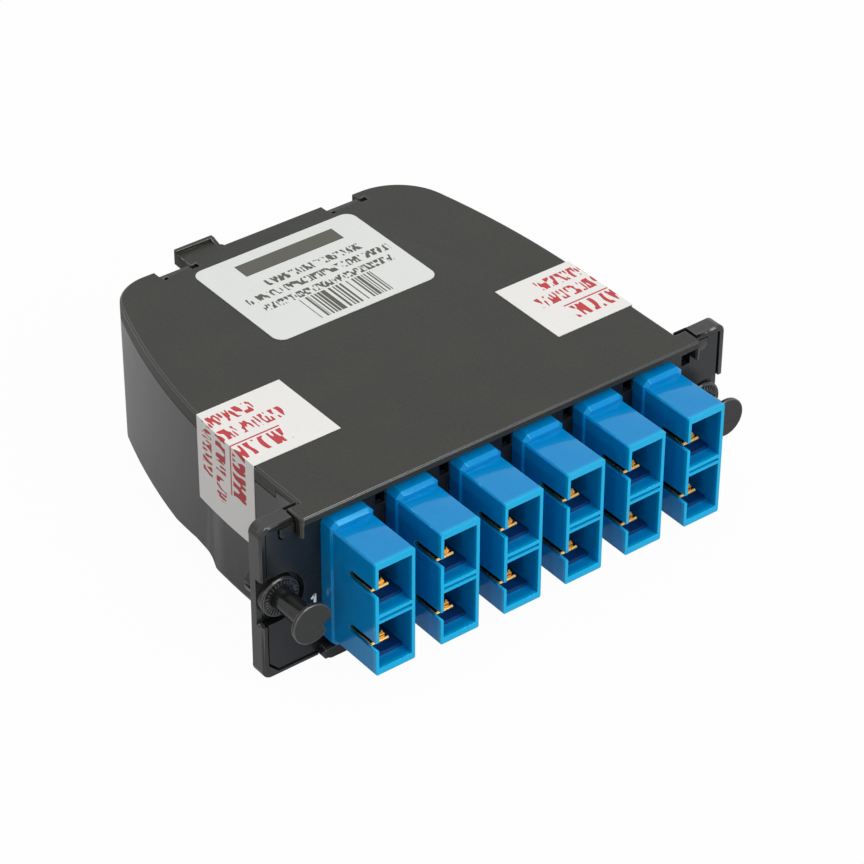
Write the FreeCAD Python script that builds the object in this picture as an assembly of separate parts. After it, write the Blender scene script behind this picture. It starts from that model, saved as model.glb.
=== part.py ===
import FreeCAD, Part
import math
import os

# Fibre cassette: a closed module that turns one multi-fibre connector at the rear into
# twelve SC ports at the front. Seen from the front, X runs to the right, Y from the front
# towards the rear and Z up. It is modelled with x = 0 at the middle of the panel, y = 0 at
# the front lip of the cover and z = 0 on the housing's underside, then moved at export, so
# that the origin ends up under the middle of the footprint, level with the lowest point.

Vec = FreeCAD.Vector

# ---- clearances ------------------------------------------------------------------------
bite = 0.2                      # how far fused pieces run into each other
fit = 0.1                       # between pieces that are put together and stay together
running = 0.06                  # radial, between a plunger and the grommet it slides in
seam_gap = 0.2                  # open line left between the cover's skirt and the base

# ---- housing, seen from above ------------------------------------------------------------
body_inset = 9.3                # panel's end to the straight stretch of a side wall
body_depth = 86.4               # front lip to the rear edge
left_taper_start = 22.0         # where the left wall starts to curve in
left_taper_radius = 172.0
left_corner_radius = 10.0
right_taper_start = 35.0
right_taper_radius = 200.0
right_corner_radius = 13.5
wall = 1.8
floor = 1.8

# ---- cover ---------------------------------------------------------------------------------
cover_thickness = 1.7
skirt_drop = 3.5                # top of the cover to the lower edge of its skirt
skirt_front = 12.5              # the skirt reaches forward to here
cover_edge_cut = 0.35
header_overhang = 2.8           # the cover widens at the front, over the panel
header_depth = 4.8
header_corner_round = 0.8
header_leg_width = 1.1          # a leg at each front corner holds the panel in
header_leg_drop = 4.4
header_leg_depth = 2.0
header_leg_cut = 0.4
locating_rib = 1.0
locating_rib_drop = 5.0
clip_notch_depth = 3.1          # notches in the rear edge, for the base's snap clips
clip_notch_left = (-23.8, -16.4)
clip_notch_right = (18.3, 26.5)
clip_gap = 0.25
clip_thickness = 1.0
clip_stem_length = 15.2          # from its tip down to the foot's lower face
clip_foot_height = 3.0
clip_window_drop = 7.0          # of the window in the rear wall, below the seam
clip_lean = 0.3                 # how far a clip's top stays below the top of the cover
pry_hole = (0.9, 0.9)
pry_hole_offset = 0.35
thumb_cut = 1.5                 # small cut at the other end of each notch
hood_width = 9.4                # the hood shields the rear connector, beside the left notch
hood_reach = 3.5
hood_thickness = 2.8
hood_lip_height = 0.8
hood_lip_thickness = 1.0
hood_flare = 0.5
hood_gusset = (0.9, 2.2)        # thickness and reach of the gusset at the lip's right end

# ---- underside -----------------------------------------------------------------------------
bottom_round = 2.0
scoop_start = 32.0              # behind this line the underside is raised
scoop_run = 5.0
scoop_peak = 3.9
scoop_peak_length = 5.0
scoop_ease = (1.6, 0.8)         # how the rise starts: a point on its curve, along Y and up
scoop_fall = 9.0
rear_rise = 2.5

# ---- panel and ears ------------------------------------------------------------------------
panel_setback = 2.2             # front lip to the panel's front face
panel_thickness = 1.6
panel_end_margin = 9.7          # past the last adapter's half of a pitch
panel_bottom = 0.9
panel_below = 3.6               # panel's lower edge to the adapter's underside
panel_above = 2.7
panel_corner_cut = 2.1
ear_rim = 1.65                  # width of the rim past the panel's end
ear_front = 1.9
ear_rear = 5.5
front_drop = 0.4                # ears and front lip reach this far below the underside
ear_top_drop = 0.1              # below the top of the cover
ear_corner_round = 2.2
ear_edge_cut = 0.4
rim_gap = 0.3                   # between the panel's edge and the rim around it
ear_gap = 0.6                   # between the cover's header and the ear's top beside it
ear_tab_width = 3.4             # tab on the rim's top, in a notch of the panel
ear_tab_drop = 2.4
ear_tab_round = 1.2
front_lip_inset = 2.0           # at each end, from the side wall's line
front_lip_top = 2.6
front_lip_reach = 0.3
front_lip_round = 1.9
front_lip_edge_cut = 0.3

# ---- latches -------------------------------------------------------------------------------
latch_inset = 3.0               # panel's end to the axis of a latch
latch_relief_radius = 5.4       # relief in the panel around a latch, open to the outside
grommet_flange_radius = 4.4
grommet_flange_thickness = 1.7
grommet_leg_radius = 3.0
grommet_leg_end = 10.0
grommet_slit_width = 0.8
grommet_slit_length = 4.4
grommet_edge_cut = 0.3
plunger_radius = 2.3
plunger_tip_gap = 0.6           # drawn out, the pin ends this far inside the grommet
plunger_head_radius = 4.35
plunger_head_rim = 0.9
plunger_head_cone = 0.8
plunger_neck_radius = 2.9
plunger_collar = 0.5
plunger_notch = 2.0             # depth of the notch in the head's rim
plunger_notch_z = (-7.4, -1.25, 0.4)
latch_travel = 7.6
latch_pushed = (0, 3.0)         # how far the left and the right one are pushed in
latch_stop_gap = 0.3            # pushed home, the collar stays this far off the grommet

# ---- duplex SC adapters ----------------------------------------------------------------------
adapter_count = 6
adapter_pitch = 15.2
adapter_side_wall = 0.8
adapter_end_wall = 1.5
adapter_front = -14.4
adapter_rear = 14.6
adapter_edge_cut = 0.35
port_pitch = 12.7
port_width = 7.65
port_height = 10.6
divider_groove = (0.6, 1.2)     # height and depth of the groove across the divider
keyway_height = 2.0
keyway_end = -6.0
flange_front = -1.7
flange_side = 0.4               # how far the flange stands out past the body
flange_tall = 1.6
flange_corner_cut = 1.2
flange_bevel = 0.8
cutout_gap = 0.12               # panel cut-out around an adapter's body
panel_slot_size = (2.2, 2.6)    # slot in the panel beside the top of each adapter
panel_slot_offset = 7.8
panel_slot_drop = 4.6           # panel's upper edge to the slot's lower edge

# ---- inside an adapter -------------------------------------------------------------------
cheek_height = 0.7              # guide cheek that narrows the port for the plug's body
plug_gap = 0.175                # between a seated plug and the port's side walls
cheek_front = -11.4             # guide cheeks start this far in
web_half_thickness = 1.6
tube_radius = 2.4
tube_half_length = 5.0
sleeve_radius = 1.6
sleeve_bore_radius = 1.26
sleeve_half_length = 4.6
sleeve_slit = 0.3
small_round_sides = 8           # hidden round parts a few millimetres across have flats
ferrule_radius = 1.24
hook_offset = 3.35              # port axis to the inner face of a latch hook
hook_thickness = 0.8
hook_width = 2.6
hook_reach = 8.4
hook_nib = (1.4, 0.35)          # length and height of the ramp at a hook's end
leaf_thickness = 0.2
leaf_front = -13.0
leaf_inner = 0.5                # the leaf ends this far short of the port's axis
leaf_curl = 0.35
leaf_edge_gap = 0.05
leaf_end_gap = 0.2
leaf_tail_width = 1.1

# ---- clip that holds an adapter in the panel -------------------------------------------------
clip_sheet = 0.3
clip_front = 4.3
clip_length = 4.6
clip_barb_height = 6.0
clip_barb_spread = 0.7
clip_barb_root = 1.0
clip_barb_gap = 0.05

# ---- fibres inside -------------------------------------------------------------------------
plug_rear = 19.0
boot_end = 26.0
boot_sizes = (4.2, 1.8)          # square section at the plug and at the end
fibre_radius = 0.45
fibre_run = 8.0                 # from each end of a fibre leg to the corner it rounds
fibre_bend_share = 0.45         # how much of that run the bend takes up
fan_out_length = 6.0
fan_out_shoulder = 2.7
fan_out_foot = 6.0
fan_out_pitch = 3.2
fan_out_margin = 2.0
ribbon_size = (0.36, 3.1)
ribbon_length = 1.5
fibre_sides = 4

# ---- rear connector ------------------------------------------------------------------------
mpo_drop = 0.65                 # below the middle of the adapters
mpo_port_size = (7.9, 12.7)
mpo_wall = 0.7
mpo_edge_cut = 0.3
mpo_key_height = 3.0
mpo_key_length = 8.6
mpo_length = 17.6
mpo_reach = 3.2                 # past the rear edge of the housing
mpo_flange_size = (10.4, 18.6)
mpo_flange_thickness = 1.5
mpo_stop_depth = 9.6            # from the rear end of the adapter
mpo_stop_thickness = 1.4
mpo_stop_window = (6.4, 11.2)
mpo_plug_gap = 0.15
mpo_plug_edge_cut = 0.8
mpo_plug_tail = 4.0             # how far the plug stands out of the adapter, inside
mpo_boot_size = (2.6, 6.4)
mpo_boot_length = 2.5
ferrule_block_size = (2.5, 6.4)
ferrule_block_reach = 3.2

# ---- label and seals -----------------------------------------------------------------------
film = 0.12
label_size = (40.0, 30.9)
label_offset = 1.7              # its middle, from the middle of the cover
label_margin = 5.6              # its rear edge, from the rear of the cover
label_round = 2.4
seal_drop = 19.5                # how far a seal comes down the side
seal_width = 20.3
left_seal_reach = 20.2          # across the top
right_seal_reach = 19.0
left_seal_front = 19.1
right_seal_front = 18.0

# ---- worked out from the above ---------------------------------------------------------------
adapter_width = port_width + 2 * adapter_side_wall
adapter_height = port_pitch + port_height + 2 * adapter_end_wall
first_adapter_x = -adapter_pitch * (adapter_count - 1) / 2
panel_half_width = adapter_pitch * adapter_count / 2 + panel_end_margin
panel_rear = panel_setback + panel_thickness
adapter_z = panel_bottom + panel_below + adapter_height / 2
port_levels = (adapter_z + port_pitch / 2, adapter_z - port_pitch / 2)
panel_top = adapter_z + adapter_height / 2 + panel_above
panel_slot_low = panel_top - panel_slot_drop
cover_underside = panel_top + fit
housing_height = cover_underside + cover_thickness
seam_z = housing_height - skirt_drop
body_half_width = panel_half_width - body_inset
header_half_width = body_half_width + header_overhang
ear_half_width = panel_half_width + ear_rim
ear_top = housing_height - ear_top_drop
ear_tab_inner = header_half_width + fit
front_lip_half_width = body_half_width - front_lip_inset
latch_x = panel_half_width - latch_inset
latch_z = adapter_z
grommet_front = panel_rear - grommet_flange_thickness
plunger_head_length = plunger_head_rim + plunger_head_cone + plunger_collar
plunger_head_front = grommet_front - latch_stop_gap - latch_travel - plunger_head_length
plunger_tip = grommet_leg_end - plunger_tip_gap
cavity_floor = scoop_peak + floor
plug_height = port_height - 2 * (cheek_height + 3 * fit / 2)
plug_width = port_width - 2 * plug_gap
mpo_rear = body_depth + mpo_reach
mpo_front = mpo_rear - mpo_length
mpo_stop = mpo_rear - mpo_stop_depth
mpo_plug_front = mpo_front - mpo_plug_tail
mpo_boot_front = mpo_plug_front - mpo_boot_length
fan_out_front = mpo_boot_front - ribbon_length - fan_out_length
hood_left = clip_notch_left[1]
hood_rear = body_depth + hood_reach
mpo_x = hood_left + mpo_flange_size[0] / 2
mpo_z = adapter_z - mpo_drop
origin_y = (adapter_front + hood_rear) / 2


# ---- helpers -------------------------------------------------------------------------------
def block(x, y, z):
    """Box between the low and high value along each axis."""
    size = [high - low for low, high in (x, y, z)]
    return Part.makeBox(*size, Vec(x[0], y[0], z[0]))


def around(middle, size):
    """Low and high value of a span of this size about its middle."""
    return middle - size / 2, middle + size / 2


def rod(x, z, radius, y):
    """Round bar along Y."""
    return Part.makeCylinder(radius, y[1] - y[0], Vec(x, y[0], z), Vec(0, 1, 0))


def flat_rod(x, z, radius, y, sides=small_round_sides):
    """Bar along Y with flats, its corners on the given radius."""
    turns = [2 * math.pi * (i + 0.5) / sides for i in range(sides)]
    points = [(x + radius * math.cos(a), z + radius * math.sin(a)) for a in turns]
    return slab(points, y[0], y[1], "y")


def edges_along(shape, axis, keep=None):
    """Straight edges that run along an axis, and whose middle `keep` accepts."""
    found = []
    for edge in shape.Edges:
        if not isinstance(edge.Curve, Part.Line):
            continue
        if abs(abs(edge.Curve.Direction.dot(axis)) - 1) > 1e-6:
            continue
        if keep is None or keep(edge.CenterOfMass):
            found.append(edge)
    return found


def cut_bar(x, y, z, size):
    """Box whose four edges along Y are chamfered."""
    bar = block(x, y, z)
    return bar.makeChamfer(size, edges_along(bar, Vec(0, 1, 0)))


def slab(points, low, high, axis):
    """Prism of a polygon, from low to high along one axis. The points hold the other two."""
    place = {
        "x": lambda p: Vec(low, p[0], p[1]),
        "y": lambda p: Vec(p[0], low, p[1]),
        "z": lambda p: Vec(p[0], p[1], low),
    }[axis]
    way = {"x": Vec(1, 0, 0), "y": Vec(0, 1, 0), "z": Vec(0, 0, 1)}[axis]
    corners = [place(p) for p in points]
    outline = Part.makePolygon(corners + corners[:1])
    return Part.Face(outline).extrude(way * (high - low))


def mirrored(shape):
    return shape.mirror(Vec(0, 0, 0), Vec(1, 0, 0))


def both_sides(shape):
    return shape.fuse(mirrored(shape))


def export(name, *solids):
    """Write one node, moved so that the origin is under the middle of the footprint."""
    shape = solids[0] if len(solids) == 1 else Part.makeCompound(list(solids))
    shape.translated(Vec(0, -origin_y, front_drop)).exportStep(f"parts/{name}.step")


# ---- plan of the housing -------------------------------------------------------------------
def side_curve(side, start, radius, corner, inset):
    """Arcs of one side: the long taper, then the rear corner. Side is -1 left, 1 right."""
    centre = Vec(side * (body_half_width - radius), start, 0)
    reach = radius - corner
    rise = body_depth - corner - start
    turn = Vec(centre.x + side * math.sqrt(reach ** 2 - rise ** 2), start + rise, 0)
    swing = math.asin(rise / reach)
    taper = radius - inset
    small = corner - inset

    def at(middle, size, angle):
        return middle + Vec(side * size * math.cos(angle), size * math.sin(angle), 0)

    begin = at(centre, taper, 0)
    join = at(centre, taper, swing)
    end = at(turn, small, math.pi / 2)
    long_arc = Part.Arc(begin, at(centre, taper, swing / 2), join)
    middle = (swing + math.pi / 2) / 2
    corner_arc = Part.Arc(join, at(turn, small, middle), end)
    return begin, end, [long_arc.toShape(), corner_arc.toShape()]


def plan(inset, front, z):
    """Prism of the housing's outline, moved inwards by inset, from y = front to the rear."""
    left_begin, left_end, left = side_curve(
        -1, left_taper_start, left_taper_radius, left_corner_radius, inset)
    right_begin, right_end, right = side_curve(
        1, right_taper_start, right_taper_radius, right_corner_radius, inset)
    half = body_half_width - inset
    front_left, front_right = Vec(-half, front, 0), Vec(half, front, 0)
    edges = [Part.makeLine(front_left, left_begin), *left,
             Part.makeLine(left_end, right_end), *reversed(right),
             Part.makeLine(right_begin, front_right),
             Part.makeLine(front_right, front_left)]
    outline = Part.Wire(Part.__sortEdges__(edges))
    face = Part.Face(outline)
    face.translate(Vec(0, 0, z[0]))
    return face.extrude(Vec(0, 0, z[1] - z[0]))


def ring(outer_inset, inner_inset, front, z):
    """Wall that follows the housing's outline at the sides and the rear, open at the front."""
    past = 2 * wall
    return plan(outer_inset, front, z).cut(plan(inner_inset, front - past, z))


# ---- cover ---------------------------------------------------------------------------------
def hood():
    """Shield over the rear connector, with a raised lip at its end."""
    right = hood_left + hood_width
    inside = body_depth - wall
    sill = body_depth + hood_flare
    outline = ((hood_left, inside), (right + hood_flare, inside),
               (right + hood_flare, body_depth), (right, sill), (right, hood_rear),
               (hood_left, hood_rear))
    shade = slab(outline, housing_height - hood_thickness, housing_height, "z")
    lip = block((hood_left, right), (hood_rear - hood_lip_thickness, hood_rear),
                (housing_height - hood_thickness, housing_height + hood_lip_height))
    thickness, reach = hood_gusset
    foot = hood_rear - hood_lip_thickness
    top = housing_height + hood_lip_height
    gusset = slab(((foot - reach, housing_height - bite), (foot + bite, housing_height - bite),
                   (foot + bite, top), (foot, top), (foot - reach, housing_height)),
                  right - thickness, right, "x")
    return shade.fuse([lip, gusset])


def clip_notch(left, right):
    """Notch in the rear edge, with a pry hole at its left end and a thumb cut at its right."""
    edge = body_depth - clip_notch_depth
    z = (cover_underside - locating_rib_drop - 1, housing_height + 1)
    cut = block((left, right), (edge, body_depth + 1), z)
    hole_x = left + pry_hole_offset
    hole = block((hole_x, hole_x + pry_hole[0]), (edge - pry_hole[1], edge + 1), z)
    thumb = slab(((right - thumb_cut / 4, edge - thumb_cut / 2),
                  (right + thumb_cut, edge - thumb_cut / 2),
                  (right + thumb_cut, edge + thumb_cut / 2),
                  (right - thumb_cut / 4, edge + thumb_cut / 4)),
                 cover_underside - 1, housing_height + 1, "z")
    return cut.fuse([hole, thumb])


def cover():
    body = plan(0, header_depth - wall, (cover_underside, housing_height))
    header = block((-header_half_width, header_half_width), (0, header_depth),
                   (cover_underside, housing_height))
    front_corners = edges_along(header, Vec(0, 0, 1), lambda m: m.y < 1)
    header = header.makeFillet(header_corner_round, front_corners)
    lid = body.fuse(header).removeSplitter()
    top = [e for e in lid.Edges if all(abs(v.Z - housing_height) < 1e-6 for v in e.Vertexes)]
    lid = lid.makeChamfer(cover_edge_cut, top)
    skirt = ring(0, wall, skirt_front, (seam_z + seam_gap, cover_underside))
    rib_inset = wall + fit
    rib = ring(rib_inset, rib_inset + locating_rib, skirt_front,
               (cover_underside - locating_rib_drop, cover_underside))
    leg = block((header_half_width - header_leg_width, header_half_width),
                (0, header_leg_depth), (housing_height - header_leg_drop, cover_underside))
    leg = leg.makeChamfer(header_leg_cut, edges_along(leg, Vec(0, 0, 1), lambda m: m.y < 1))
    shape = lid.fuse([skirt, rib, leg, mirrored(leg), hood()]).removeSplitter()
    for left, right in (clip_notch_left, clip_notch_right):
        shape = shape.cut(clip_notch(left, right))
    return shape


# ---- base ----------------------------------------------------------------------------------
def ear_tab(grow, y):
    """Prism of the tab on the right-hand ear, grown by a clearance."""
    low = panel_top - ear_tab_drop
    tab = block((ear_tab_inner - grow, ear_tab_inner + ear_tab_width + grow), y,
                (low - grow, cover_underside))
    low_corners = edges_along(tab, Vec(0, 1, 0), lambda m: m.z < low + fit)
    return tab.makeFillet(ear_tab_round, low_corners)


def ear():
    """Right-hand ear: the seat behind the panel's end, with a rim around it."""
    shape = block((body_half_width - wall, ear_half_width), (ear_front, ear_rear),
                  (-front_drop, ear_top))
    outer = edges_along(shape, Vec(0, 1, 0), lambda m: m.x > body_half_width)
    shape = shape.makeFillet(ear_corner_round, outer)
    face = [e for e in shape.Edges if e.CenterOfMass.x > body_half_width
            and all(abs(v.Y - ear_front) < 1e-6 for v in e.Vertexes)]
    shape = shape.makeChamfer(ear_edge_cut, face)
    pocket = panel_outline(rim_gap, (ear_front - 1, panel_rear))
    header_room = block((0, header_half_width + ear_gap), (0, header_depth + ear_gap),
                        (cover_underside, housing_height))
    cover_room = block((0, body_half_width + seam_gap), (0, ear_rear + 1),
                       (cover_underside, housing_height))
    latch_gap = block((panel_half_width - 1, ear_half_width + 1), (0, panel_rear),
                      around(latch_z, 2 * latch_relief_radius))
    leg_hole = rod(latch_x, latch_z, grommet_leg_radius + running, (0, ear_rear + 1))
    return shape.cut([pocket, header_room, cover_room, latch_gap, leg_hole])


def underside_relief():
    """What is taken from below: the underside rises behind the scoop line."""
    y0 = scoop_start
    y1 = y0 + scoop_run
    y2 = y1 + scoop_peak_length
    y3 = y2 + scoop_fall
    low, past = -1, body_depth + 1
    start, end = Vec(0, y0, 0), Vec(0, y1, scoop_peak)
    middle = (start + end) / 2
    along, up = scoop_ease
    first = Part.Arc(start, Vec(0, y0 + along, up), middle).toShape()
    second = Part.Arc(middle, Vec(0, y1 - along, scoop_peak - up), end).toShape()
    corners = [end, Vec(0, y2, scoop_peak), Vec(0, y3, rear_rise),
               Vec(0, past, rear_rise), Vec(0, past, low),
               Vec(0, y0, low), start]
    lines = [Part.makeLine(a, b) for a, b in zip(corners, corners[1:])]
    face = Part.Face(Part.Wire([first, second] + lines))
    face.translate(Vec(-header_half_width, 0, 0))
    return face.extrude(Vec(2 * header_half_width, 0, 0))


def front_lip():
    """Lip along the bottom, in front of the panel."""
    lip = block((-front_lip_half_width, front_lip_half_width),
                (-front_lip_reach, panel_setback - fit), (-front_drop, front_lip_top))
    lip = lip.makeFillet(front_lip_round, edges_along(
        lip, Vec(0, 1, 0), lambda m: m.z < 0))
    front = edges_along(lip, Vec(1, 0, 0), lambda m: m.y < 0)
    return lip.makeChamfer(front_lip_edge_cut, front)


def snap_clip(left, right):
    """Clip that stands up from the base's rear wall and hooks the cover's notch."""
    face = body_depth - clip_notch_depth + clip_gap
    inner = body_depth - wall
    top = housing_height - clip_lean
    low = top - clip_stem_length
    x = (left + clip_gap, right - clip_gap)
    stem = block(x, (face, face + clip_thickness), (low, top))
    foot = block(x, (face, inner + bite), (low, low + clip_foot_height))
    return stem.fuse(foot)


def clip_window(left, right):
    """Opening in the rear wall and the room behind it, for one snap clip."""
    return block((left, right), (body_depth - wall - 1, body_depth + 1),
                 (seam_z - clip_window_drop, housing_height))


def base():
    outer = plan(0, header_depth, (0, seam_z))
    low = [e for e in outer.Edges
           if all(abs(v.Z) < 1e-6 for v in e.Vertexes) and e.CenterOfMass.y > header_depth + 1]
    outer = outer.makeFillet(bottom_round, low)
    high_walls = plan(0, header_depth, (seam_z - 1, cover_underside)).common(
        block((-body_half_width, body_half_width), (0, skirt_front - seam_gap),
              (0, housing_height)))
    tray = block((-body_half_width + bottom_round, body_half_width - bottom_round),
                 (0, header_depth + 1), (0, floor))
    cavity = plan(wall, 0, (cavity_floor, housing_height))
    front_cavity = block((-body_half_width + wall, body_half_width - wall),
                         (-1, scoop_start - floor), (floor, housing_height))
    right_ear = ear()
    shape = outer.fuse([high_walls, tray]).cut(underside_relief())
    shape = shape.cut([cavity, front_cavity])
    shape = shape.fuse([front_lip(), right_ear, mirrored(right_ear)])
    shape = shape.cut(panel_outline(fit, (panel_setback - fit, panel_rear + fit)))
    tab = ear_tab(0, (ear_front, panel_rear + fit + bite))
    shape = shape.fuse([tab, mirrored(tab)])
    for left, right in (clip_notch_left, clip_notch_right):
        shape = shape.cut(clip_window(left, right)).fuse(snap_clip(left, right))
    mpo_hole = block(around(mpo_x, mpo_port_size[0] + 2 * (mpo_wall + fit)),
                     (body_depth - wall - 1, body_depth + 1),
                     around(mpo_z, mpo_port_size[1] + 2 * (mpo_wall + fit)))
    return shape.cut(mpo_hole).removeSplitter()


# ---- panel ---------------------------------------------------------------------------------
def panel_outline(grow, y):
    """Prism of the panel's outline along Y, grown by a clearance all round."""
    half = panel_half_width + grow
    low, high = panel_bottom - grow, panel_top + grow
    cut = panel_corner_cut
    return slab(((-half + cut, low), (half - cut, low), (half, low + cut), (half, high),
                 (-half, high), (-half, low + cut)), y[0], y[1], "y")


def panel():
    shape = panel_outline(0, (panel_setback, panel_rear))
    for i in range(adapter_count):
        x = first_adapter_x + i * adapter_pitch
        hole = block(around(x, adapter_width + 2 * cutout_gap), (0, panel_rear + 1),
                     around(adapter_z, adapter_height + 2 * cutout_gap))
        slot = block((x + panel_slot_offset, x + panel_slot_offset + panel_slot_size[0]),
                     (0, panel_rear + 1), (panel_slot_low, panel_slot_low + panel_slot_size[1]))
        shape = shape.cut([hole, slot])
    y = (0, panel_rear + 1)
    relief = rod(latch_x, latch_z, latch_relief_radius, y).fuse(
        block((latch_x, ear_half_width), y, around(latch_z, 2 * latch_relief_radius)))
    notch = ear_tab(rim_gap, y)
    return shape.cut([both_sides(relief), both_sides(notch)])


# ---- latches -------------------------------------------------------------------------------
def grommet(x):
    """Split nylon grommet: a flange on the ear, and legs that go through the rack's panel."""
    flange = rod(x, latch_z, grommet_flange_radius, (grommet_front, panel_rear))
    front = [e for e in flange.Edges if abs(e.CenterOfMass.y - grommet_front) < 1e-6]
    flange = flange.makeChamfer(grommet_edge_cut, front)
    legs = rod(x, latch_z, grommet_leg_radius, (panel_rear, grommet_leg_end))
    bore = rod(x, latch_z, plunger_radius + running, (grommet_front - 1, grommet_leg_end + 1))
    slit_y = (grommet_leg_end - grommet_slit_length, grommet_leg_end + 1)
    across = around(x, 2 * grommet_leg_radius + 1)
    upright = around(latch_z, 2 * grommet_leg_radius + 1)
    slits = [block(around(x, grommet_slit_width), slit_y, upright),
             block(across, slit_y, around(latch_z, grommet_slit_width))]
    return flange.fuse(legs).cut([bore] + slits)


def plunger(x, pushed):
    """Push pin with a mushroom head, which has a notch in its rim."""
    head = plunger_head_front
    back = head + plunger_head_rim
    foot = back + plunger_head_cone
    tip = plunger_tip
    rim = plunger_head_radius
    profile = ((0, head), (rim, head), (rim, back), (plunger_neck_radius, foot),
               (plunger_radius, foot + plunger_collar), (plunger_radius, tip), (0, tip))
    points = [Vec(r, y, 0) for r, y in profile]
    face = Part.Face(Part.makePolygon(points + points[:1]))
    turned = face.revolve(Vec(0, 0, 0), Vec(0, 1, 0), 360)
    low, deep, high = plunger_notch_z
    notch = slab(((rim - plunger_notch, deep), (rim + 1, low), (rim + 1, high)),
                 head - 1, foot, "y")
    turned = turned.cut(notch)
    turned.translate(Vec(x, pushed, latch_z))
    return turned


# ---- adapters ------------------------------------------------------------------------------
def keyway(x, z):
    """Slot in the left wall of one port, open at the front, its end rounded with flats."""
    past = x - adapter_width / 2 - 1
    half = keyway_height / 2
    start = adapter_front - 1
    turns = [math.pi / 6 * i - math.pi / 2 for i in range(7)]
    end = [(keyway_end - half + half * math.cos(a), z + half * math.sin(a)) for a in turns]
    return slab([(start, z - half), *end, (start, z + half)], past, x, "x")


def adapter_body(x):
    """Shell of one duplex adapter, stood on end: two ports, one above the other."""
    y = (adapter_front, adapter_rear)
    body = cut_bar(around(x, adapter_width), y, around(adapter_z, adapter_height),
                   adapter_edge_cut)
    flange = cut_bar(around(x, adapter_width + 2 * flange_side), (flange_front, panel_setback),
                     around(adapter_z, adapter_height + 2 * flange_tall), flange_corner_cut)
    front = [e for e in flange.Edges if abs(e.CenterOfMass.y - flange_front) < 1e-6]
    shape = body.fuse(flange.makeChamfer(flange_bevel, front))
    cuts = []
    for z in port_levels:
        cuts.append(block(around(x, port_width), (y[0] - 1, y[1] + 1), around(z, port_height)))
        cuts.append(keyway(x, z))
    groove_height, groove_depth = divider_groove
    cuts.append(block(around(x, port_width), (y[0] - 1, y[0] + groove_depth),
                      around(adapter_z, groove_height)))
    return shape.cut(cuts)


def latch_core(x, z):
    """Inner body of one port: a web that holds the sleeve, guide cheeks and latch hooks."""
    gap = fit / 2
    width = around(x, port_width - 2 * gap)
    web = block(width, (-web_half_thickness, web_half_thickness),
                around(z, port_height - 2 * gap))
    tube = flat_rod(x, z, tube_radius, (-tube_half_length, tube_half_length))
    pieces = [tube]
    outside = port_height / 2 - gap
    inside = outside - cheek_height
    for up in (-1, 1):
        cheek = sorted((z + up * inside, z + up * outside))
        pieces.append(block(width, (cheek_front, -cheek_front), cheek))
        low, high = hook_offset, hook_offset + hook_thickness
        for way in (-1, 1):
            end = way * hook_reach
            nib = end - way * hook_nib[0]
            profile = ((0, low), (nib, low - hook_nib[1]), (end, low), (end, high), (0, high))
            points = [(y, z + up * offset) for y, offset in profile]
            pieces.append(slab(points, *around(x, hook_width), "x"))
    shape = web.fuse(pieces)
    return shape.cut(flat_rod(x, z, sleeve_radius + running,
                              (-tube_half_length - 1, tube_half_length + 1))).removeSplitter()


def sleeve(x, z):
    """Split ceramic sleeve that lines two ferrules up, its slit upwards."""
    half = sleeve_slit / 2
    step = 2 * math.pi / small_round_sides
    turns = [math.pi / 2 + step * (i + 0.5) for i in range(small_round_sides)]
    points = []
    for radius, way in ((sleeve_radius, 1), (sleeve_bore_radius, -1)):
        flat = z + radius * math.cos(step / 2)
        corners = [(x + radius * math.cos(a), z + radius * math.sin(a)) for a in turns]
        points += ([(x - half, flat)] + corners + [(x + half, flat)])[::way]
    return slab(points, -sleeve_half_length, sleeve_half_length, "y")


def leaf(x, z):
    """Bronze leaf that lies in the keyway and reaches into the port, its front edge curled."""
    left = x - adapter_width / 2 + leaf_edge_gap
    right = x - leaf_inner
    inside = x - port_width / 2 + fit
    rear = keyway_end - leaf_end_gap
    curled = leaf_front + leaf_curl
    half = leaf_thickness / 2
    plate = block((left, right), (curled, rear), (z - half, z + half))
    curl = slab(((curled, z - half), (curled, z + half),
                 (leaf_front, z - leaf_curl + leaf_thickness), (leaf_front, z - leaf_curl)),
                left, right, "x")
    tail = block((inside, inside + leaf_tail_width), (rear, -web_half_thickness),
                 (z - half, z + half))
    return plate.fuse([curl, tail]).removeSplitter()


def retaining_clip(x):
    """Sheet-metal clip around the adapter's body behind the panel, with two sprung barbs."""
    width = adapter_width + 2 * fit
    height = adapter_height + 2 * fit
    y = (clip_front, clip_front + clip_length)
    outer = block(around(x, width + 2 * clip_sheet), y, around(adapter_z, height + 2 * clip_sheet))
    inner = block((x - width / 2, x + width), (y[0] - 1, y[1] + 1), around(adapter_z, height))
    strip = outer.cut(inner)
    near = x - width / 2 - clip_sheet
    far = near - clip_barb_spread
    tip = panel_rear + clip_barb_gap
    barb = slab(((near, y[1]), (near, y[1] - clip_barb_root), (far, tip), (far - clip_sheet, tip)),
                *around(adapter_z, clip_barb_height), "z")
    return strip.fuse(barb).removeSplitter()


def inner_plug(x, z):
    """Plug seated in the rear of a port, with its ferrule in the sleeve and a short boot."""
    start = hook_reach + fit
    body = block(around(x, plug_width), (start, plug_rear), around(z, plug_height))
    ferrule = flat_rod(x, z, ferrule_radius, (fit, start + 1))
    wide, slim = [size / 2 for size in boot_sizes]
    boot = Part.makeWedge(x - wide, plug_rear, z - wide, z - slim, x - slim,
                          x + wide, boot_end, z + wide, z + slim, x + slim)
    return body.fuse([ferrule, boot])


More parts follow.
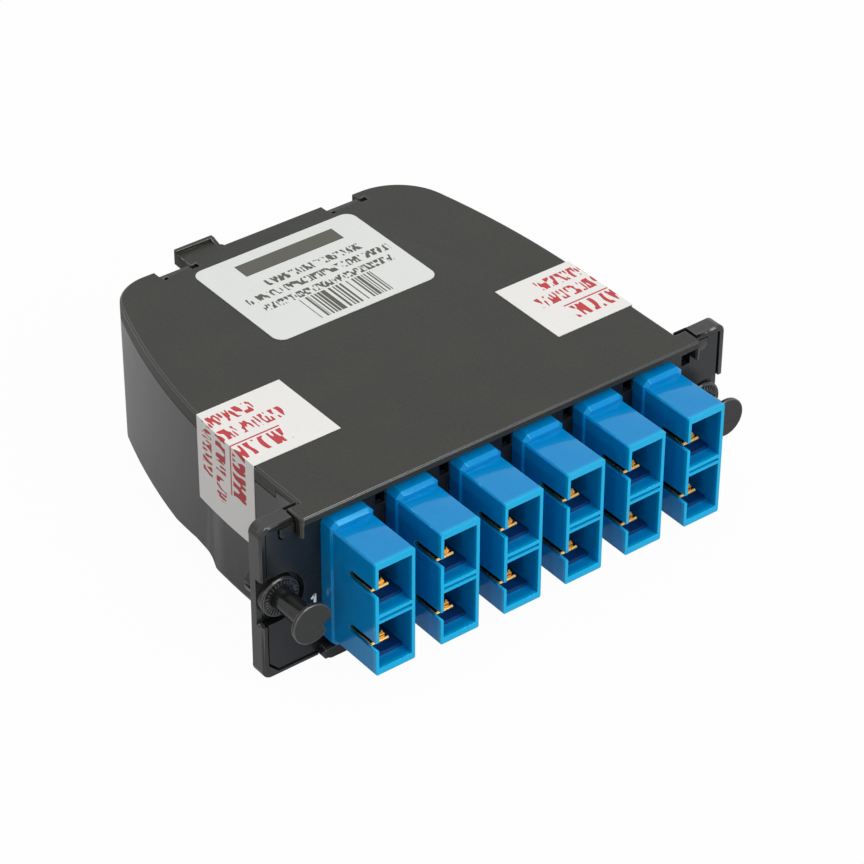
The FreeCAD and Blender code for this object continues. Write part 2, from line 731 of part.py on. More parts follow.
# ---- fibres --------------------------------------------------------------------------------
def fibre_path(start, low, high, end):
    """Straight runs through four points, with a tangent arc at each of the two between."""
    edges = []
    here = start
    setback = fibre_bend_share * fibre_run
    for before, corner, after in ((start, low, high), (low, high, end)):
        into, out = corner - before, after - corner
        turn = into.getAngle(out)
        a = corner - into.normalize() * setback
        b = corner + out.normalize() * setback
        bend = setback / math.tan(turn / 2)
        print(f"fibre bend radius {bend:.1f} mm, {bend / (2 * fibre_radius):.0f} diameters")
        way = ((a + b) / 2 - corner).normalize()
        top = corner + way * (bend / math.cos(turn / 2) - bend)
        edges += [Part.makeLine(here, a), Part.Arc(a, top, b).toShape()]
        here = b
    edges.append(Part.makeLine(here, end))
    return Part.Wire(edges)


def fan_out_x(index):
    """Where the fibre of one adapter enters the fan-out block."""
    return mpo_x + (index - (adapter_count - 1) / 2) * fan_out_pitch


def fibre_leg(index, z):
    """Buffered fibre from one plug's boot to the fan-out block, its section a flat-sided bar."""
    x = first_adapter_x + index * adapter_pitch
    goal = fan_out_x(index)
    start = Vec(x, boot_end, z)
    path = fibre_path(start, Vec(x, boot_end + fibre_run, z),
                      Vec(goal, fan_out_front - fibre_run, z), Vec(goal, fan_out_front, z))
    turns = [2 * math.pi * (i + 0.5) / fibre_sides for i in range(fibre_sides)]
    rim = [start + Vec(fibre_radius * math.sin(a), 0, fibre_radius * math.cos(a)) for a in turns]
    return path.makePipeShell([Part.makePolygon(rim + rim[:1])], True, False)


def fan_out():
    """Block where the ribbon's fibres part into single legs."""
    half = fan_out_pitch * (adapter_count - 1) / 2 + fan_out_margin
    low, high = port_levels[1] - fan_out_margin, port_levels[0] + fan_out_margin
    rear = fan_out_front + fan_out_length
    wide = fan_out_front + fan_out_shoulder
    narrow = mpo_boot_size[0] / 2 + fan_out_margin
    outline = ((mpo_x - half, fan_out_front), (mpo_x + half, fan_out_front), (mpo_x + half, wide),
               (mpo_x + narrow, rear), (mpo_x - narrow, rear), (mpo_x - half, wide))
    block_body = slab(outline, low, high, "z")
    foot = slab(outline, cavity_floor, low, "z").common(
        block(around(mpo_x, fan_out_foot), (fan_out_front, rear), (cavity_floor, low)))
    return block_body.fuse(foot).removeSplitter()


# ---- rear connector ------------------------------------------------------------------------
def mpo_adapter():
    """Adapter for the multi-fibre connector, on edge in the rear wall under the hood."""
    width, height = mpo_port_size
    outer = cut_bar(around(mpo_x, width + 2 * mpo_wall), (mpo_front, mpo_rear),
                    around(mpo_z, height + 2 * mpo_wall), mpo_edge_cut)
    inner_face = body_depth - wall
    flange = block(around(mpo_x, mpo_flange_size[0]),
                   (inner_face - mpo_flange_thickness, inner_face),
                   around(mpo_z, mpo_flange_size[1]))
    port = block(around(mpo_x, width), (mpo_front - 1, mpo_rear + 1), around(mpo_z, height))
    stop = block(around(mpo_x, width + mpo_wall), around(mpo_stop, mpo_stop_thickness),
                 around(mpo_z, height + mpo_wall))
    window = block(around(mpo_x, mpo_stop_window[0]), (mpo_front, mpo_rear),
                   around(mpo_z, mpo_stop_window[1]))
    key = block((mpo_x - width / 2 - mpo_wall - 1, mpo_x), (mpo_rear - mpo_key_length, mpo_rear + 1),
                around(mpo_z, mpo_key_height))
    return outer.fuse(flange).cut(port).fuse(stop).cut([window, key]).removeSplitter()


def mpo_plug():
    """Connector on the ribbon, seated in the inner side of the rear adapter."""
    width = mpo_port_size[0] - 2 * mpo_plug_gap
    height = mpo_port_size[1] - 2 * mpo_plug_gap
    end = mpo_stop - mpo_stop_thickness / 2 - fit
    body = cut_bar(around(mpo_x, width), (mpo_plug_front, end), around(mpo_z, height),
                   mpo_plug_edge_cut)
    boot = block(around(mpo_x, mpo_boot_size[0]), (mpo_boot_front, mpo_plug_front),
                 around(mpo_z, mpo_boot_size[1]))
    ferrule = block(around(mpo_x, ferrule_block_size[0]), (end, end + ferrule_block_reach),
                    around(mpo_z, ferrule_block_size[1]))
    return body.fuse([boot, ferrule]).removeSplitter()


def ribbon():
    """Short flat ribbon of fibres, between the fan-out block and the connector's boot."""
    return block(around(mpo_x, ribbon_size[0]), (mpo_boot_front - ribbon_length, mpo_boot_front),
                 around(mpo_z, ribbon_size[1]))


# ---- label and seals -----------------------------------------------------------------------
def label():
    width, depth = label_size
    rear = body_depth - label_margin
    sheet = block(around(label_offset, width), (rear - depth, rear),
                  (housing_height, housing_height + film))
    return sheet.makeFillet(label_round, edges_along(sheet, Vec(0, 0, 1)))


def seal(side):
    """Paper seal folded over the top edge, down across the seam. Side is -1 left, 1 right."""
    past = body_half_width + 1
    low = housing_height - seal_drop
    shell = plan(-film, 0, (low, housing_height + film)).cut(plan(0, 0, (low - 1, housing_height)))
    reach, front = ((left_seal_reach, left_seal_front) if side < 0
                    else (right_seal_reach, right_seal_front))
    x = sorted((side * (body_half_width - reach), side * past))
    area = block(x, (front, front + seal_width), (low, housing_height + 1))
    return shell.common(area)


# ---- build ---------------------------------------------------------------------------------
def main():
    os.makedirs("parts", exist_ok=True)
    export("cover", cover())
    export("base", base())
    export("panel", panel())
    for side, name, pushed in zip((-1, 1), ("left", "right"), latch_pushed):
        export(f"grommet_{name}", grommet(side * latch_x))
        export(f"plunger_{name}", plunger(side * latch_x, pushed))
        export(f"seal_{name}", seal(side))
    for i in range(adapter_count):
        x = first_adapter_x + i * adapter_pitch
        export(f"adapter_{i + 1}", adapter_body(x))
        export(f"retaining_clip_{i + 1}", retaining_clip(x))
        export(f"latch_core_{i + 1}", *[latch_core(x, z) for z in port_levels])
        export(f"sleeves_{i + 1}", *[sleeve(x, z) for z in port_levels])
        export(f"leaves_{i + 1}", *[leaf(x, z) for z in port_levels])
        export(f"inner_plugs_{i + 1}", *[inner_plug(x, z) for z in port_levels])
    export("fibre_legs", *[fibre_leg(i, z) for i in range(adapter_count) for z in port_levels])
    export("fan_out", fan_out())
    export("ribbon", ribbon())
    export("mpo_adapter", mpo_adapter())
    export("mpo_plug", mpo_plug())
    export("label", label())


main()
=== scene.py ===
from math import cos, pi, radians, sin

import bmesh
import bpy
from mathutils import Matrix, Vector


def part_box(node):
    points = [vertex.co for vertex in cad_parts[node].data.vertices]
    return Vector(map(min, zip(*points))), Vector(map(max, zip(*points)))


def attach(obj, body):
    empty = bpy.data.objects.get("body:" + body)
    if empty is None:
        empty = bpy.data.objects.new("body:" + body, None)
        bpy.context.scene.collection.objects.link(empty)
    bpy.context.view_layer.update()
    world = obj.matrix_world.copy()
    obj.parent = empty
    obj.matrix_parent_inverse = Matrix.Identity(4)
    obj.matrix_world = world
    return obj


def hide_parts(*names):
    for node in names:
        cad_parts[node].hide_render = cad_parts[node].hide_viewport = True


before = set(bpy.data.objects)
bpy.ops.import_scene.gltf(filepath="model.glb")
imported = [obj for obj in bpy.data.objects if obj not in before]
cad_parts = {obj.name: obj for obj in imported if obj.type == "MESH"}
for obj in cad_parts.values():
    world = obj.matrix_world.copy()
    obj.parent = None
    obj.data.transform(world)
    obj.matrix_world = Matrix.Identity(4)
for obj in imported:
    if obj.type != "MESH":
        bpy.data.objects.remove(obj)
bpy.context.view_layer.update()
mm = 0.001

# ---- Cover -------------------------------------------------------------------------------
# One lid moulded in charcoal ABS from a spark-eroded tool, so its top has a fine even grain.
# It carries the header over the panel, the skirts and the hood over the rear connector.
# Handling has rubbed its outer edges smooth.

def stock(name, colour, roughness, grain=3200, depth=0.02, tone=0.12, metal=0.0, waves=90,
          shine=0.5):
    """Plastic or metal with a fine grain in its surface, and slow changes of tone and gloss.
    `grain` and `waves` are the two patterns' scales, and `depth` is the grain's, in mm."""
    slow_share = 0.35
    gloss_spread = 0.15
    grain_strength = 0.6
    material = bpy.data.materials.new(name)
    material.use_nodes = True
    nodes, links = material.node_tree.nodes, material.node_tree.links
    surface = nodes["Principled BSDF"]
    place = nodes.new("ShaderNodeTexCoord")

    fine = nodes.new("ShaderNodeTexNoise")
    fine.inputs["Scale"].default_value = grain
    fine.inputs["Detail"].default_value = 3
    links.new(place.outputs["Object"], fine.inputs["Vector"])
    slow = nodes.new("ShaderNodeTexNoise")
    slow.inputs["Scale"].default_value = waves
    slow.inputs["Detail"].default_value = 4
    links.new(place.outputs["Object"], slow.inputs["Vector"])

    both = nodes.new("ShaderNodeMix")
    both.data_type = "FLOAT"
    both.inputs["Factor"].default_value = slow_share
    links.new(fine.outputs["Fac"], both.inputs["A"])
    links.new(slow.outputs["Fac"], both.inputs["B"])
    shade = nodes.new("ShaderNodeValToRGB")
    shade.name = "shade"
    shade.color_ramp.elements[0].position = 0.3
    shade.color_ramp.elements[1].position = 0.7
    shade.color_ramp.elements[0].color = [c * (1 - tone) for c in colour] + [1]
    shade.color_ramp.elements[1].color = [c * (1 + tone) for c in colour] + [1]
    links.new(both.outputs["Result"], shade.inputs["Fac"])
    links.new(shade.outputs["Color"], surface.inputs["Base Color"])

    gloss = nodes.new("ShaderNodeMapRange")
    gloss.inputs["To Min"].default_value = roughness * (1 - gloss_spread)
    gloss.inputs["To Max"].default_value = roughness * (1 + gloss_spread)
    links.new(slow.outputs["Fac"], gloss.inputs["Value"])
    links.new(gloss.outputs["Result"], surface.inputs["Roughness"])

    bump = nodes.new("ShaderNodeBump")
    bump.inputs["Strength"].default_value = grain_strength
    bump.inputs["Distance"].default_value = depth * mm
    links.new(fine.outputs["Fac"], bump.inputs["Height"])
    links.new(bump.outputs["Normal"], surface.inputs["Normal"])
    surface.inputs["Metallic"].default_value = metal
    surface.inputs["Specular IOR Level"].default_value = shine
    return material


def finish_piece(shape, name, material, body="housing", stands_for=(), edges=None):
    """Make the bmesh a shaded object that rides on a body and takes a finish. Its worn faces, if
    it has any, take the second finish, `edges`; on the nylon pieces that finish is also painted
    lighter as a highlight."""
    crease = 42
    mesh = bpy.data.meshes.new(name)
    shape.to_mesh(mesh)
    shape.free()
    mesh.shade_smooth()
    mesh.set_sharp_from_angle(angle=radians(crease))
    piece = bpy.data.objects.new(name, mesh)
    bpy.context.collection.objects.link(piece)
    mesh.materials.append(material)
    if edges:
        mesh.materials.append(edges)
    normals = piece.modifiers.new("face_weighted", "WEIGHTED_NORMAL")
    normals.keep_sharp = True
    normals.weight = 90
    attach(piece, body)
    if stands_for:
        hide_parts(*stands_for)


def solid_shape(node):
    """A CAD piece's own shape with whole faces in place of loose triangles."""
    same_place = 0.002
    flat = 0.6
    shape = bmesh.new()
    shape.from_mesh(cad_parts[node].data)
    bmesh.ops.remove_doubles(shape, verts=shape.verts, dist=same_place * mm)
    bmesh.ops.dissolve_limit(shape, angle_limit=radians(flat), verts=shape.verts,
                             edges=shape.edges)
    return shape


def round_edges(shape, radius, sharp=30, segments=2, least=0.0, worn_and_highlit=0):
    """Round every outer edge that is sharper than an angle and longer than `least`, in mm.
    The rounding takes the finish number given last, 1 where the edges are rubbed and, on the
    nylon pieces, painted lighter as a highlight."""
    edges = [e for e in shape.edges if e.is_convex and e.calc_length() > least * mm
             and e.calc_face_angle(0) > radians(sharp)]
    rounded = bmesh.ops.bevel(shape, geom=edges, offset=radius * mm, offset_type="OFFSET",
                              segments=segments, profile=0.5, affect="EDGES", material=-1,
                              clamp_overlap=False)
    for face in rounded["faces"]:
        face.material_index = worn_and_highlit


charcoal = stock("charcoal_grain", (0.0165, 0.018, 0.0135), 0.5, grain=2600, depth=0.06,
                 tone=0.5, shine=0.36)
rubbed = stock("rubbed_edge", (0.02, 0.021, 0.019), 0.2, grain=2600, depth=0.004, tone=0.2,
               shine=0.8)
cover = solid_shape("cover")
round_edges(cover, 0.16, least=0.9, segments=3, worn_and_highlit=1)
finish_piece(cover, "cover_moulding", charcoal, stands_for=["cover"],
             edges=rubbed)

# ---- Base --------------------------------------------------------------------------------
# The tray is moulded in the same charcoal plastic, with a smoother tool finish on its walls.
# Its ears, front lip and snap clips are part of the one moulding. The ears' tops are divided
# beside the header and level with its foot, so that each stretch is rounded by itself.

tray_plastic = stock("charcoal_satin", (0.0135, 0.0142, 0.013), 0.26, grain=2600, depth=0.008,
                     tone=0.25, shine=0.55)
base = solid_shape("base")
header_gap = 0.6
foot_drop = 2.5
header_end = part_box("cover")[1][0] + header_gap * mm
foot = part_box("cover")[1][2] - foot_drop * mm
for point, facing in (((-header_end, 0, 0), (1, 0, 0)), ((header_end, 0, 0), (1, 0, 0)),
                      ((0, 0, foot), (0, 0, 1))):
    bmesh.ops.bisect_plane(base, geom=base.verts[:] + base.edges[:] + base.faces[:],
                           plane_co=point, plane_no=facing)
round_edges(base, 0.14, least=1.2, segments=3, worn_and_highlit=1)
finish_piece(base, "base_moulding", tray_plastic, stands_for=["base"],
             edges=rubbed)

# ---- Panel -------------------------------------------------------------------------------
# A flat dark plate that slides in between the ears and holds the adapters in its cut-outs.
# The first port's number is printed on it in white.

plate_finish = stock("panel_satin", (0.0095, 0.0115, 0.0145), 0.27, grain=2600, depth=0.008,
                     tone=0.2, shine=0.42)
panel = solid_shape("panel")
round_edges(panel, 0.08, least=0.5)
finish_piece(panel, "front_panel", plate_finish, stands_for=["panel"])

ink_white = stock("white_ink", (0.92, 0.93, 0.95), 0.5, grain=1500, depth=0.004, tone=0.02)
ink_thickness = 0.05
numeral_place = (10.75, 12.8)      # from the panel's lower left corner
stem = (0.62, 2.0, 0, 0, 0)        # width, height, place across and up, lean in degrees
flag = (0.5, 1.15, -0.42, 0.55, 48)
numeral = bmesh.new()
for width, height, x, z, lean in (stem, flag):
    stroke = bmesh.ops.create_cube(numeral, size=mm)["verts"]
    bmesh.ops.scale(numeral, vec=(width, ink_thickness, height), verts=stroke)
    bmesh.ops.rotate(numeral, cent=(0, 0, 0), verts=stroke,
                     matrix=Matrix.Rotation(radians(lean), 3, "Y"))
    bmesh.ops.translate(numeral, vec=(x * mm, 0, z * mm), verts=stroke)
plate_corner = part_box("panel")[0]
bmesh.ops.translate(numeral, vec=(plate_corner[0] + numeral_place[0] * mm, plate_corner[1],
                                  plate_corner[2] + numeral_place[1] * mm), verts=numeral.verts)
finish_piece(numeral, "port_number", ink_white)

# ---- Latches -----------------------------------------------------------------------------
# A split nylon grommet snaps into each ear, and a mushroom-headed pin slides in it.
# Pushed home, the pin spreads the grommet's legs behind the frame. A ring of ticks is moulded
# on each grommet's face, and the right pin's notch faces the other way from the left one's.

nylon = stock("black_nylon", (0.011, 0.0115, 0.0115), 0.17, grain=2200, depth=0.008, tone=0.2,
              shine=0.42)
# A glossier, much lighter nylon for the ticks and the rounded edges. The gloss is from rubbing,
# and the lighter colour is a painted highlight.
worn_and_highlit_nylon = stock("worn_and_highlit_nylon", (0.045, 0.047, 0.048), 0.14, grain=2200, depth=0.006,
                     tone=0.4, shine=0.8)
tick_count = 30
tick_ring = 3.35                   # from the pin's axis to the ticks' middles
tick_width, tick_height, tick_length = 0.24, 0.34, 0.6
long_tick = 0.35                   # what every third tick is longer by
for side in ("left", "right"):
    collar = solid_shape(f"grommet_{side}")
    round_edges(collar, 0.1, sharp=40, worn_and_highlit=1)
    low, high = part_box(f"grommet_{side}")
    middle = Vector(((low[0] + high[0]) / 2, low[1], (low[2] + high[2]) / 2))
    for index in range(tick_count):
        length = tick_length + long_tick * (index % 3 == 0)
        tick = bmesh.ops.create_cube(collar, size=mm)["verts"]
        bmesh.ops.scale(collar, vec=(tick_width, tick_height, length), verts=tick)
        bmesh.ops.translate(collar, vec=(0, 0, tick_ring * mm), verts=tick)
        bmesh.ops.rotate(collar, cent=(0, 0, 0), verts=tick,
                         matrix=Matrix.Rotation(2 * pi * index / tick_count, 3, "Y"))
        bmesh.ops.translate(collar, vec=middle, verts=tick)
        # The ticks take the lighter nylon, a painted highlight.
        for face in {f for v in tick for f in v.link_faces}:
            face.material_index = 1
    finish_piece(collar, f"latch_grommet_{side}", nylon,
                 stands_for=[f"grommet_{side}"], edges=worn_and_highlit_nylon)
    pin = solid_shape(f"plunger_{side}")
    # The pin's rounded edges take the lighter nylon, a painted highlight.
    round_edges(pin, 0.22, sharp=40, segments=3, worn_and_highlit=1)
    if side == "right":
        bmesh.ops.rotate(pin, cent=middle, matrix=Matrix.Rotation(pi, 3, "Y"), verts=pin.verts)
    finish_piece(pin, f"latch_pin_{side}", nylon, body=f"{side}_plunger",
                 stands_for=[f"plunger_{side}"], edges=worn_and_highlit_nylon)

# ---- Adapters ----------------------------------------------------------------------------
# Six duplex SC adapters stand on end in the panel, each a glossy shell of bright blue PBT
# around two ports, with a flange against the panel and a keyway in the left wall of each port.
# The last millimetre of the front rims is painted paler, a painted highlight for light that
# falls on the rims and passes through the thin plastic.

adapter_count = 6
lit_rim_start, lit_rim_end = 0.15, 1.1     # how far in from the front the painted highlight on the rims fades
# the colour of the rims' painted highlight
lit_rim_blue = (0.0, 0.36, 0.66, 1)
cyan_sheen = (0.3, 0.92, 1.0, 1)
blue = stock("adapter_blue", (0.0, 0.2, 0.5), 0.1, grain=900, depth=0.003, tone=0.05,
             waves=60)
nodes, links = blue.node_tree.nodes, blue.node_tree.links
nodes["Principled BSDF"].inputs["Specular Tint"].default_value = cyan_sheen
# Painted highlight: near the front the blue is mixed towards the paler rim colour, fading
# inwards.
depth_in = nodes.new("ShaderNodeSeparateXYZ")
links.new(nodes["Texture Coordinate"].outputs["Object"], depth_in.inputs["Vector"])
lit_rim_fade = nodes.new("ShaderNodeMapRange")
lit_rim_fade.inputs["From Min"].default_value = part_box("adapter_1")[0][1] + lit_rim_start * mm
lit_rim_fade.inputs["From Max"].default_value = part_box("adapter_1")[0][1] + lit_rim_end * mm
lit_rim_fade.inputs["To Min"].default_value = 1
lit_rim_fade.inputs["To Max"].default_value = 0
links.new(depth_in.outputs["Y"], lit_rim_fade.inputs["Value"])
lit_rim_mix = nodes.new("ShaderNodeMix")
lit_rim_mix.data_type = "RGBA"
lit_rim_mix.inputs["B"].default_value = lit_rim_blue
links.new(lit_rim_fade.outputs["Result"], lit_rim_mix.inputs["Factor"])
links.new(nodes["shade"].outputs["Color"], lit_rim_mix.inputs["A"])
links.new(lit_rim_mix.outputs["Result"], nodes["Principled BSDF"].inputs["Base Color"])
core_blue = stock("core_blue", (0.0, 0.03, 0.13), 0.4, grain=1500, depth=0.006, tone=0.08)
for number in range(1, adapter_count + 1):
    shell = solid_shape(f"adapter_{number}")
    round_edges(shell, 0.1, least=0.9)
    finish_piece(shell, f"adapter_shell_{number}", blue,
                 stands_for=[f"adapter_{number}"])
    core = solid_shape(f"latch_core_{number}")
    round_edges(core, 0.05)
    finish_piece(core, f"port_cores_{number}", core_blue,
                 stands_for=[f"latch_core_{number}"])

# ---- Leaves ------------------------------------------------------------------------------
# A sprung leaf stamped from bronze strip lies in each keyway and reaches into the port,
# where its end is folded up.

fold_radius = 0.85
fold_thickness = 0.2
fold_inset, fold_depth, fold_rise = 1.1, 1.0, 0.35   # its middle, from the leaf's inner end
lower_leaf_rise = 0.65             # the lower leaf's top, above the piece's lowest point
bronze = stock("bronze_strip", (0.5, 0.31, 0.1), 0.24, grain=1800, depth=0.006, tone=0.2,
               metal=1.0)
for number in range(1, adapter_count + 1):
    strips = solid_shape(f"leaves_{number}")
    round_edges(strips, 0.04)
    low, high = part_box(f"leaves_{number}")
    for height in (high[2], low[2] + lower_leaf_rise * mm):
        fin = bmesh.ops.create_cone(strips, cap_ends=True, segments=3,
                                    radius1=fold_radius * mm, radius2=fold_radius * mm,
                                    depth=fold_thickness * mm)["verts"]
        bmesh.ops.rotate(strips, cent=(0, 0, 0), verts=fin,
                         matrix=Matrix.Rotation(radians(90), 3, "X"))
        bmesh.ops.translate(strips, vec=(high[0] - fold_inset * mm, low[1] + fold_depth * mm,
                                         height + fold_rise * mm), verts=fin)
    finish_piece(strips, f"leaf_springs_{number}", bronze,
                 stands_for=[f"leaves_{number}"])

# ---- Inside the adapters -----------------------------------------------------------------
# Polished zirconia sleeves line up the ferrules, and moulded plugs are seated from behind.
# A clip folded from sheet steel round each body holds it in the panel.

zirconia = stock("zirconia", (0.82, 0.8, 0.75), 0.12, grain=2500, depth=0.002, tone=0.03)
plug_blue = stock("plug_blue", (0.0, 0.16, 0.5), 0.3, tone=0.06)
spring_steel = stock("spring_steel", (0.62, 0.62, 0.64), 0.25, grain=1600, depth=0.004,
                     tone=0.1, metal=1.0)
for number in range(1, adapter_count + 1):
    for node, material, name in ((f"sleeves_{number}", zirconia, "split_sleeves"),
                                 (f"inner_plugs_{number}", plug_blue, "seated_plugs"),
                                 (f"retaining_clip_{number}", spring_steel, "body_clip")):
        part = solid_shape(node)
        round_edges(part, 0.04)
        finish_piece(part, f"{name}_{number}", material, stands_for=[node])

# ---- Fibres and rear connector -----------------------------------------------------------
# Yellow buffered fibres run from the plugs to a fan-out block, where they join in a ribbon.
# The ribbon ends in a push-on plug, seated in the black adapter under the hood.

jacket = stock("fibre_yellow", (0.72, 0.5, 0.03), 0.35, tone=0.06)
black_abs = stock("black_abs", (0.012, 0.012, 0.013), 0.35, tone=0.2)
push_on = stock("plug_green", (0.2, 0.42, 0.08), 0.35, tone=0.08)
for node, material, name, width in (("fibre_legs", jacket, "fibres", 0.1),
                                    ("ribbon", jacket, "flat_ribbon", 0.05),
                                    ("fan_out", black_abs, "fan_out_block", 0.25),
                                    ("mpo_adapter", black_abs, "rear_adapter", 0.1),
                                    ("mpo_plug", push_on, "rear_plug", 0.12)):
    part = solid_shape(node)
    round_edges(part, width)
    finish_piece(part, name, material, stands_for=[node])

# ---- Label -------------------------------------------------------------------------------
# A satin polyester label with rounded corners, stuck on the cover in front of the hood.
# It is printed in dark grey with a heading bar, rows of plain strokes and a bar pattern.


def print_rows(material, ink, across, rows):
    """Print rows of plain strokes. A row is its span across, its span along Y, and the width
    and length of its strokes, or None for a solid bar. All are in mm."""
    ink_share = 0.5
    row_shift = 3.7
    nodes, links = material.node_tree.nodes, material.node_tree.links
    place = nodes["Texture Coordinate"]
    parts = nodes.new("ShaderNodeSeparateXYZ")
    links.new(place.outputs["Object"], parts.inputs["Vector"])

    def work(operation, first, *others):
        node = nodes.new("ShaderNodeMath")
        node.operation = operation
        for index, value in enumerate((first, *others)):
            if isinstance(value, (int, float)):
                node.inputs[index].default_value = value
            else:
                links.new(value, node.inputs[index])
        return node.outputs["Value"]

    u = across(parts, work)
    total = 0.0
    for index, (left, right, front, rear, stroke) in enumerate(rows):
        here = work("MULTIPLY",
                    work("COMPARE", u, (left + right) / 2 * mm, (right - left) / 2 * mm),
                    work("COMPARE", parts.outputs["Y"], (front + rear) / 2 * mm,
                         (rear - front) / 2 * mm))
        if stroke:
            strokes = nodes.new("ShaderNodeTexNoise")
            strokes.inputs["Scale"].default_value = 1
            strokes.inputs["Detail"].default_value = 0
            spread = nodes.new("ShaderNodeCombineXYZ")
            links.new(work("MULTIPLY", u, 1000 / stroke[0]), spread.inputs["X"])
            links.new(work("MULTIPLY", parts.outputs["Y"], 1000 / stroke[1]), spread.inputs["Y"])
            spread.inputs["Z"].default_value = row_shift * index
            links.new(spread.outputs["Vector"], strokes.inputs["Vector"])
            here = work("MULTIPLY", here,
                        work("GREATER_THAN", strokes.outputs["Fac"], ink_share))
        total = work("MAXIMUM", total, here)
    mix = nodes.new("ShaderNodeMix")
    mix.data_type = "RGBA"
    links.new(total, mix.inputs["Factor"])
    links.new(nodes["shade"].outputs["Color"], mix.inputs["A"])
    mix.inputs["B"].default_value = (*ink, 1)
    links.new(mix.outputs["Result"], nodes["Principled BSDF"].inputs["Base Color"])


dark_grey = (0.075, 0.076, 0.06)
small_stroke = (0.55, 1.6)
tall_bar = (0.5, 400)
label_rows = (                     # from the label's front left corner
    (8.5, 33.1, 23.3, 27.8, None),
    (10.3, 34.0, 17.8, 20.1, small_stroke),
    (3.1, 38.6, 14.1, 16.4, small_stroke),
    (4.6, 36.6, 10.4, 12.7, small_stroke),
    (11.1, 30.2, 1.8, 9.9, tall_bar))
film = stock("label_film", (0.64, 0.655, 0.64), 0.38, grain=1500, depth=0.004, tone=0.02,
             shine=0.3)
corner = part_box("label")[0]
corner_x, corner_y = corner[0] / mm, corner[1] / mm
print_rows(film, dark_grey, lambda parts, work: parts.outputs["X"],
           [(corner_x + left, corner_x + right, corner_y + front, corner_y + rear, stroke)
            for left, right, front, rear, stroke in label_rows])
label = solid_shape("label")
finish_piece(label, "rating_label", film, stands_for=["label"])

# ---- Seals -------------------------------------------------------------------------------
# Two paper seals, stuck on the cover and folded over its edges, then down across the seam, so
# that opening the cassette tears them. They are printed in red with rows of plain strokes.

red = (0.44, 0.045, 0.05)
bold_stroke = (1.1, 4.0)
fine_stroke = (0.7, 2.6)
seal_rows = (                      # reach to each side of the fold, then span from the front
    (11.4, 2.8, 7.1, bold_stroke),
    (11.4, 7.6, 8.0, None),
    (15.0, 9.7, 13.2, fine_stroke),
    (11.2, 14.7, 18.2, fine_stroke))


def past_fold(parts, work):
    """Distance across a seal from its fold: out along the top, then down the side."""
    out = work("ABSOLUTE", parts.outputs["X"])
    return work("SUBTRACT", work("SUBTRACT", out, parts.outputs["Z"]), fold_line)


for side in ("left", "right"):
    paper = stock(f"seal_paper_{side}", (0.71, 0.7, 0.68), 0.5, grain=1200, depth=0.006,
                  tone=0.02, shine=0.25)
    low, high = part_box(f"seal_{side}")
    fold_line = max(abs(low[0]), abs(high[0])) - high[2]
    seal_front = low[1] / mm
    print_rows(paper, red, past_fold,
               [(-reach, reach, seal_front + front, seal_front + rear, stroke)
                for reach, front, rear, stroke in seal_rows])
    seal = solid_shape(f"seal_{side}")
    finish_piece(seal, f"paper_seal_{side}", paper, stands_for=[f"seal_{side}"])

# ---- Floor, light and camera ---------------------------------------------------------------
# A white sweep under soft light from the front and above, with a small lamp from the left that
# catches the rounded edges. A long lens looks from the left and above.

sweep_half = 6
sweep_grey = (0.6, 0.6, 0.6, 1)
white_seen = 0.97                  # how white the sweep is to the camera
white_mirrored = 0.25              # and in the reflections on the object
fill_level = 0.42
floor_shape = bmesh.new()
bmesh.ops.create_grid(floor_shape, x_segments=1, y_segments=1, size=sweep_half)
floor_mesh = bpy.data.meshes.new("floor")
floor_shape.to_mesh(floor_mesh)
floor_shape.free()
floor = bpy.data.objects.new("floor", floor_mesh)
bpy.context.collection.objects.link(floor)
white = bpy.data.materials.new("white_floor")
white.use_nodes = True
nodes, links = white.node_tree.nodes, white.node_tree.links
nodes.clear()
out = nodes.new("ShaderNodeOutputMaterial")
mix = nodes.new("ShaderNodeMixShader")
matte = nodes.new("ShaderNodeBsdfDiffuse")
matte.inputs["Color"].default_value = sweep_grey
glow = nodes.new("ShaderNodeEmission")
path = nodes.new("ShaderNodeLightPath")
seen = nodes.new("ShaderNodeMath")
seen.operation = "MULTIPLY"
seen.inputs[1].default_value = white_seen
mirrored = nodes.new("ShaderNodeMath")
mirrored.operation = "MULTIPLY_ADD"
mirrored.inputs[1].default_value = white_mirrored
links.new(path.outputs["Is Camera Ray"], seen.inputs[0])
links.new(path.outputs["Is Glossy Ray"], mirrored.inputs[0])
links.new(seen.outputs["Value"], mirrored.inputs[2])
links.new(mirrored.outputs["Value"], mix.inputs["Fac"])
links.new(matte.outputs["BSDF"], mix.inputs[1])
links.new(glow.outputs["Emission"], mix.inputs[2])
links.new(mix.outputs["Shader"], out.inputs["Surface"])
floor_mesh.materials.append(white)

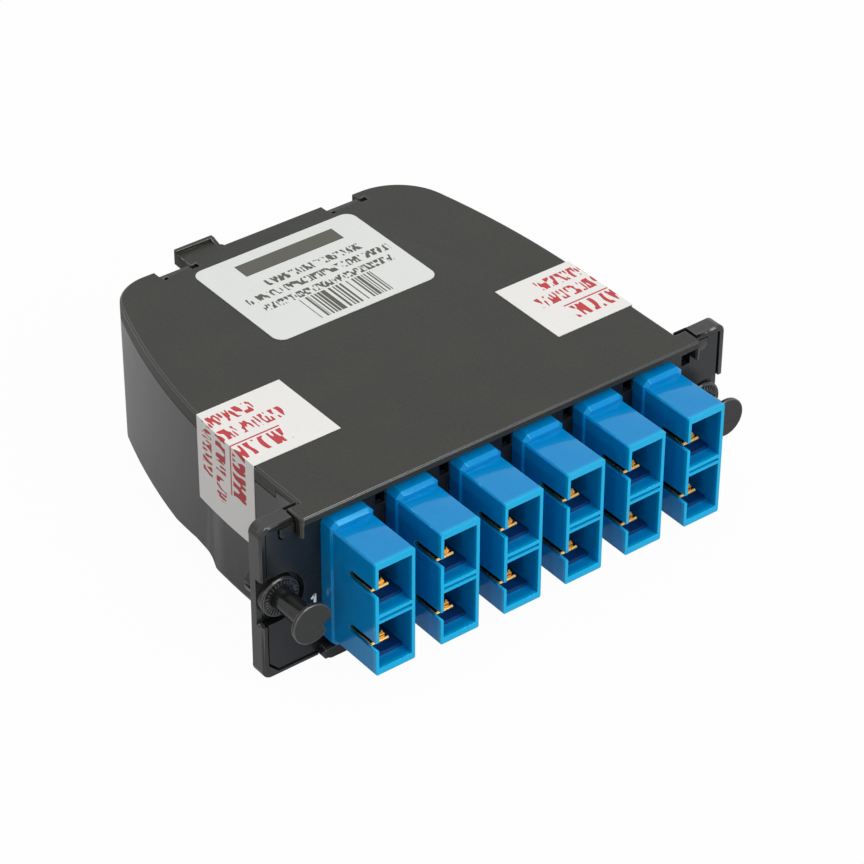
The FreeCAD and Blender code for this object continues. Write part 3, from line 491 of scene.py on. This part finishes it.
world = bpy.data.worlds.new("studio")
bpy.context.scene.world = world
world.use_nodes = True
nodes, links = world.node_tree.nodes, world.node_tree.links
path = nodes.new("ShaderNodeLightPath")
seen = nodes.new("ShaderNodeMath")
seen.operation = "MAXIMUM"
level = nodes.new("ShaderNodeMapRange")
level.inputs["To Min"].default_value = fill_level
level.inputs["To Max"].default_value = 1.0
links.new(path.outputs["Is Camera Ray"], seen.inputs[0])
links.new(path.outputs["Is Glossy Ray"], seen.inputs[1])
links.new(seen.outputs["Value"], level.inputs["Value"])
links.new(level.outputs["Result"], nodes["Background"].inputs["Strength"])
nodes["Background"].inputs["Color"].default_value = (1, 1, 1, 1)

for name, place, size, power in (("key", (0.25, -1.1, 0.9), 0.9, 15),
                                 ("top", (-0.1, 0.2, 1.3), 1.0, 6),
                                 ("spark", (-0.75, -0.5, 0.4), 0.05, 0.7)):
    lamp = bpy.data.lights.new(name, "AREA")
    lamp.energy = power
    lamp.size = size
    lamp_object = bpy.data.objects.new(name, lamp)
    lamp_object.location = place
    lamp_object.rotation_euler = (-Vector(place)).to_track_quat("-Z", "Y").to_euler()
    bpy.context.collection.objects.link(lamp_object)

camera_place = (-0.33017, -0.44064, 0.40791)
turn, tilt, roll = radians(37.72), radians(35.65), radians(-0.275)
ahead = Vector((sin(turn) * cos(tilt), cos(turn) * cos(tilt), -sin(tilt)))
right = Vector((cos(turn), -sin(turn), 0))
down = ahead.cross(right)
level_right = right * cos(roll) + down * sin(roll)
up = right * sin(roll) - down * cos(roll)
lens = bpy.data.cameras.new("camera")
lens.lens = 139.74
lens.sensor_width = 36
lens.clip_start = 0.01
camera = bpy.data.objects.new("camera", lens)
camera.matrix_world = Matrix((
    (level_right.x, up.x, -ahead.x, camera_place[0]),
    (level_right.y, up.y, -ahead.y, camera_place[1]),
    (level_right.z, up.z, -ahead.z, camera_place[2]),
    (0, 0, 0, 1)))
bpy.context.collection.objects.link(camera)
bpy.context.scene.camera = camera
bpy.context.scene.view_settings.view_transform = "Standard"
